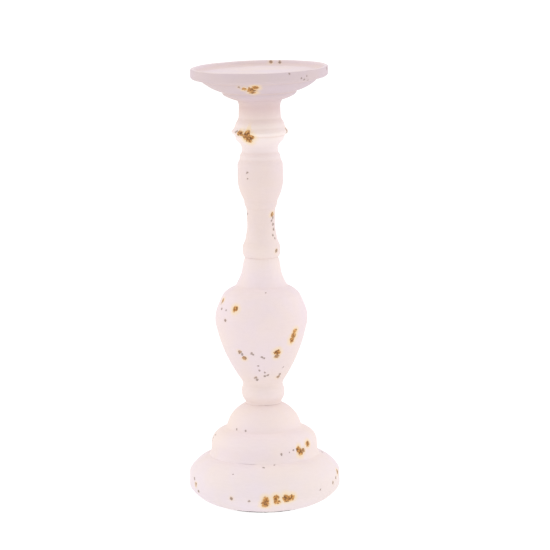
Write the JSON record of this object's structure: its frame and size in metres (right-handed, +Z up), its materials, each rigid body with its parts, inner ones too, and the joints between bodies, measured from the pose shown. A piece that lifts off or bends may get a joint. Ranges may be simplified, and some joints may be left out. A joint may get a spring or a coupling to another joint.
{
  "type": "wooden candlestick",
  "caption": "Tall turned wooden pillar candlestick with a shallow dish, baluster stem and stepped round base, in distressed off-white paint.",
  "frame": {"origin": "centre of the felt disc's underside, on the table", "axes": "+Z up along the turning axis; the other two axes are free, with one foot screw towards +Y"},
  "size_m": [0.125, 0.125, 0.365],
  "materials": {
    "chalk_paint": "matt off-white chalk paint over stained wood, chipped through to golden brown",
    "dowel_wood": "plain birch, unfinished",
    "zinc_steel": "bright zinc plate",
    "felt": "dark pressed felt"
  },
  "bodies": {
    "root": {"base_foot": "chalk_paint", "base_dome": "chalk_paint", "vase_stem": "chalk_paint", "upper_spindle": "chalk_paint", "candle_dish": "chalk_paint", "dish_dowel": "dowel_wood", "spindle_dowel": "dowel_wood", "coach_screw": "zinc_steel", "coach_washer": "zinc_steel", "foot_screws": "zinc_steel", "felt_disc": "felt"}
  },
  "joints": []
}
